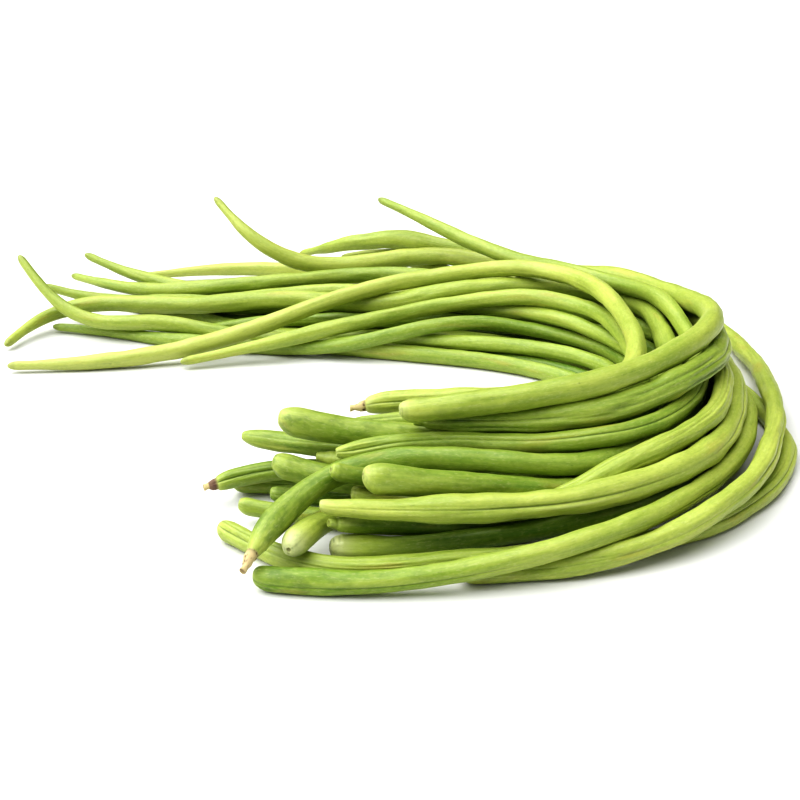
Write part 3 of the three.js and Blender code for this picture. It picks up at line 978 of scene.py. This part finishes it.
class SkinPattern(NodeSheet):
    """The node group that all skins share: patches, streaks, blemishes, painted shade in creases and
    highlight on ridges, scars and dried stalks.
    """

    LAYERS = ("tone", "crease", "scar", "dry", "cap", "mottle")

    def __init__(self) -> None:
        """Makes the group with its sockets and fills it."""
        super().__init__(bpy.data.node_groups.new("pod_skin_pattern", "ShaderNodeTree"))
        self.noises: dict[str, Socket] = {}
        number, colour = "NodeSocketFloat", "NodeSocketColor"
        inputs = {"Straight": "NodeSocketVector"} | {name.capitalize(): number for name in self.LAYERS}
        inputs |= {"Deep": colour, "Fresh": colour, "Roughness": number}
        outputs = {"Color": colour, "Roughness": number, "Height": number}
        for way, sockets in (("INPUT", inputs), ("OUTPUT", outputs)):
            for name, kind in sockets.items():
                self.tree.interface.new_socket(name, in_out=way, socket_type=kind)
        self.given = self.add("NodeGroupInput").outputs
        result = self.add("NodeGroupOutput").inputs
        self.join(self.dried(self.marked(self.flesh())), result["Color"])
        self.join(self.roughness(), result["Roughness"])
        self.join(self.height(), result["Height"])

    def noise(self, noise: Noise) -> Socket:
        """Adds a noise, or finds it where it is there already.

        Args:
            noise: What it is like.

        Returns:
            The noise's value, from 0 to 1.
        """
        if noise.label not in self.noises:
            mapping = self.add("ShaderNodeMapping", noise.label + " stretch")
            fill(mapping, {"Scale": noise.scale})
            self.join(self.given["Straight"], mapping.inputs["Vector"])
            node = self.add("ShaderNodeTexNoise", noise.label)
            fill(node, {"Scale": 1.0, "Detail": noise.detail})
            self.join(mapping.outputs["Vector"], node.inputs["Vector"])
            self.noises[noise.label] = node.outputs["Fac"]
        return self.noises[noise.label]

    def share(self, noise: Noise) -> Socket:
        """Turns a noise into its share."""
        return self.ranged(self.noise(noise), noise.low, noise.high, noise.start, noise.full)

    def flesh(self) -> Socket:
        """Mixes the deep and the fresh green by tone, which carries some painted light and shade, and makes
        the palest heads paler still.

        Returns:
            The colour.
        """
        tone_and_painted_light = self.given["Tone"]
        for noise in (PATCHES, STREAKS, BANDS, FINE_GRAIN):
            tone_and_painted_light = self.maths("ADD", tone_and_painted_light, self.share(noise), clamp=noise is FINE_GRAIN)
        colour = self.mix(tone_and_painted_light, self.given["Deep"], self.given["Fresh"])
        # on the palest heads this is partly painted light: a head in the shade of the pods above is made
        # pale
        palest = self.ranged(self.given["Tone"], 0.85, 1.6, 0.0, 0.85)
        return self.mix(palest, colour, PALE_COLOUR)

    def marked(self, colour: Socket) -> Socket:
        """Adds blemishes and scars, painted shade in creases and painted highlight on ridges, and pale scar
        rims.

        Args:
            colour: The colour of the flesh.

        Returns:
            The colour with them.
        """
        mottle = self.maths("MULTIPLY", self.share(MOTTLES), self.given["Mottle"])
        colour = self.mix(mottle, colour, MOTTLE_COLOUR)
        noises = BLUSHES, FLECKS, DASHES, SPECKS
        tints = BLUSH_COLOUR, RIDGE_HIGHLIGHT_AND_FLECK_COLOUR, CREASE_SHADE_AND_DASH_COLOUR, MOTTLE_COLOUR
        for noise, tint in zip(noises, tints):
            colour = self.mix(self.share(noise), colour, tint)
        # the first two paint shade into creases and highlight onto ridges; the last two are the scar's own
        # rim and pit
        changes = (
            ("Crease", 0.15, 1.0, 0.52, CREASE_SHADE_AND_DASH_COLOUR),
            ("Crease", -0.05, -0.60, 0.34, RIDGE_HIGHLIGHT_AND_FLECK_COLOUR),
            ("Scar", -0.05, -0.8, 0.7, RIM_COLOUR),
            ("Scar", 0.0, 1.0, 0.85, SCAR_COLOUR),
        )
        for name, low, high, full, tint in changes:
            share = self.ranged(self.given[name], low, high, 0.0, full)
            colour = self.mix(share, colour, tint)
        return colour

    def dried(self, colour: Socket) -> Socket:
        """Covers dried stalks with bark, and some with a dark cap.

        Args:
            colour: The colour of living skin.

        Returns:
            The colour of skin and stalk.
        """
        cut_end = self.maths("MULTIPLY", self.given["Scar"], 0.8)
        dark = self.maths("ADD", self.share(BARK), cut_end, clamp=True)
        stalk = self.mix(dark, DRY_COLOUR, BARK_COLOUR)
        stalk = self.mix(self.maths("MULTIPLY", self.given["Cap"], 0.85), stalk, CAP_COLOUR)
        return self.mix(self.given["Dry"], colour, stalk)

    def roughness(self) -> Socket:
        """Makes the wax uneven and dried stalks dull."""
        waxy = self.maths("ADD", self.given["Roughness"], self.share(WAX))
        return self.maths("ADD", waxy, self.maths("MULTIPLY", self.given["Dry"], 0.35), clamp=True)

    def height(self) -> Socket:
        """Adds up the fine relief of streaks, pores, grain and bark.

        Returns:
            The height.
        """
        bark = self.maths("MULTIPLY", self.noise(BARK), self.given["Dry"])
        height = self.maths("MULTIPLY", self.noise(STREAKS), 0.6)
        for value, share in ((self.noise(PORES), 0.35), (self.noise(FINE_GRAIN), 0.9), (bark, 2.5)):
            height = self.maths("ADD", height, self.maths("MULTIPLY", value, share))
        return height


@dataclass(frozen=True)
class SkinFinish:
    """A pod's skin: its greens, its wax and how light goes into it."""

    slot: str
    deep: Colour
    fresh: Colour
    roughness: float = 0.46
    gloss: float = 0.50
    coat: float = 0.05
    coat_roughness: float = 0.30
    scatter: float = 0.10
    scatter_colour: Colour = (0.8, 1.0, 0.25)  # how far red, green and blue go, in shares
    scatter_depth: float = 1.2 * MM
    bump: float = 0.10 * MM
    bump_strength: float = 0.6

    def material(self, shared: SkinPattern) -> bpy.types.Material:
        """Makes the material.

        Args:
            shared: The pattern of all skins.

        Returns:
            The material.
        """
        material = bpy.data.materials.new(self.slot)
        material.use_nodes = True
        sheet = NodeSheet(material.node_tree)
        pattern = sheet.add("ShaderNodeGroup", "skin pattern", node_tree=shared.tree)
        fill(pattern, {"Deep": (*self.deep, 1.0), "Fresh": (*self.fresh, 1.0), "Roughness": self.roughness})
        place = sheet.add("ShaderNodeAttribute", "straight", attribute_name="straight")
        sheet.join(place.outputs["Vector"], pattern.inputs["Straight"])
        for name in shared.LAYERS:
            reader = sheet.add("ShaderNodeAttribute", name, attribute_name=name)
            sheet.join(reader.outputs["Fac"], pattern.inputs[name.capitalize()])
        shader = sheet.add("ShaderNodeBsdfPrincipled", "skin")
        fill(shader, {
            "Subsurface Weight": self.scatter,
            "Subsurface Radius": self.scatter_colour,
            "Subsurface Scale": self.scatter_depth,
            "Specular IOR Level": self.gloss,
            "Coat Weight": self.coat,
            "Coat Roughness": self.coat_roughness,
        })
        relief = sheet.add("ShaderNodeBump", "skin relief")
        fill(relief, {"Strength": self.bump_strength, "Distance": self.bump})
        output = sheet.add("ShaderNodeOutputMaterial")
        sheet.join(pattern.outputs["Color"], shader.inputs["Base Color"])
        sheet.join(pattern.outputs["Roughness"], shader.inputs["Roughness"])
        sheet.join(pattern.outputs["Height"], relief.inputs["Height"])
        sheet.join(relief.outputs["Normal"], shader.inputs["Normal"])
        sheet.join(shader.outputs["BSDF"], output.inputs["Surface"])
        return material


SKINS = (
    SkinFinish("skin_bright", (0.128, 0.240, 0.005), (0.465, 0.528, 0.116)),
    SkinFinish("skin_mid", (0.090, 0.200, 0.004), (0.425, 0.500, 0.098)),
    SkinFinish("skin_deep", (0.062, 0.160, 0.003), (0.375, 0.465, 0.080)),
)


@dataclass
class Bunch:
    """All the pods, as they lie on each other."""

    nodes: dict[str, bpy.types.Object]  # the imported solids, by name
    slots: dict[str, str]  # the material slot of each

    def build(self) -> None:
        """Grows and dresses every pod."""
        pattern = SkinPattern()
        materials = {finish.slot: finish.material(pattern) for finish in SKINS}
        for seed, name in enumerate(sorted(self.nodes), start=1):
            way = Way.from_node(self.nodes[name])
            piece = Pod(name, way, POD_LOOKS[name], seed).build()
            piece.data.materials.append(materials[self.slots[name]])
            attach(piece, BODY)
            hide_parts(name)
            sizes = way.length / MM, way.stub_length / MM, len(piece.data.polygons)
            log.info("%s: %.0f mm long, stub %.0f mm, %d faces", name, *sizes)


@dataclass(frozen=True)
class Softbox:
    """A soft lamp far away."""

    name: str
    direction: tuple[float, float, float]  # where it stands, as seen from the bunch
    strength: float  # in watts per square metre
    softness: float  # how wide it looks, in degrees


@dataclass
class Studio:
    """The table, the lights and the camera."""

    camera_place: tuple[float, float, float] = (0.0124, -0.5573, 0.220)
    camera_pitch: float = 22.0  # how far it looks down, in degrees
    lens: float = 60.75
    sensor: float = 36.0
    table_size: float = 12.0
    table_colour: Colour = (0.74, 0.74, 0.74)
    lamps: tuple[Softbox, ...] = (
        Softbox("softbox", (-0.40, 0.04, 1.0), 4.1, 88.0),
        Softbox("left_fill", (-1.0, -0.55, 0.55), 0.90, 70.0),
        Softbox("right_fill", (1.0, -0.45, 0.55), 0.45, 70.0),
    )
    glow: float = 0.05

    def build_table(self) -> None:
        """Lays a plain white table under the bunch."""
        surface = bmesh.new()
        bmesh.ops.create_grid(surface, x_segments=1, y_segments=1, size=self.table_size / 2)
        table = add_mesh("table", surface)
        material = bpy.data.materials.new("white_table")
        material.use_nodes = True
        table.data.materials.append(material)
        settings = {"Base Color": (*self.table_colour, 1.0), "Roughness": 0.6, "Specular IOR Level": 0.2}
        fill(material.node_tree.nodes["Principled BSDF"], settings)

    def build_lights(self) -> None:
        """Lights the bunch softly from above and from both sides, with a faint glow all round."""
        for box in self.lamps:
            lamp = bpy.data.lights.new(box.name, "SUN")
            lamp.energy = box.strength
            lamp.angle = math.radians(box.softness)
            holder = add_object(box.name, lamp)
            holder.location = box.direction
            holder.rotation_euler = Vector(box.direction).to_track_quat("Z", "Y").to_euler()
        world = bpy.data.worlds.new("studio")
        world.use_nodes = True
        fill(world.node_tree.nodes["Background"], {"Color": (1.0, 1.0, 1.0, 1.0), "Strength": self.glow})
        bpy.context.scene.world = world
        bpy.context.scene.view_settings.view_transform = "Standard"
        bpy.context.scene.view_settings.look = "High Contrast"

    def build_camera(self) -> None:
        """Puts the camera in front of the bunch, looking down at it."""
        camera = bpy.data.cameras.new("camera")
        camera.lens = self.lens
        camera.sensor_width = self.sensor
        camera.clip_start = 0.01
        holder = add_object("camera", camera)
        holder.location = self.camera_place
        holder.rotation_euler = (math.radians(90 - self.camera_pitch), 0.0, 0.0)
        bpy.context.scene.camera = holder

    def build(self) -> None:
        """Sets up the whole studio."""
        self.build_table()
        self.build_lights()
        self.build_camera()


def main() -> None:
    """Builds the bunch and its studio."""
    logging.basicConfig(level=logging.INFO, format="%(name)s: %(message)s")
    slots = {part["node"]: part["material_slot"] for part in frame["record"]["subparts"]}
    Bunch(frame["nodes"], slots).build()
    Studio().build()


if __name__ == "__main__":
    main()
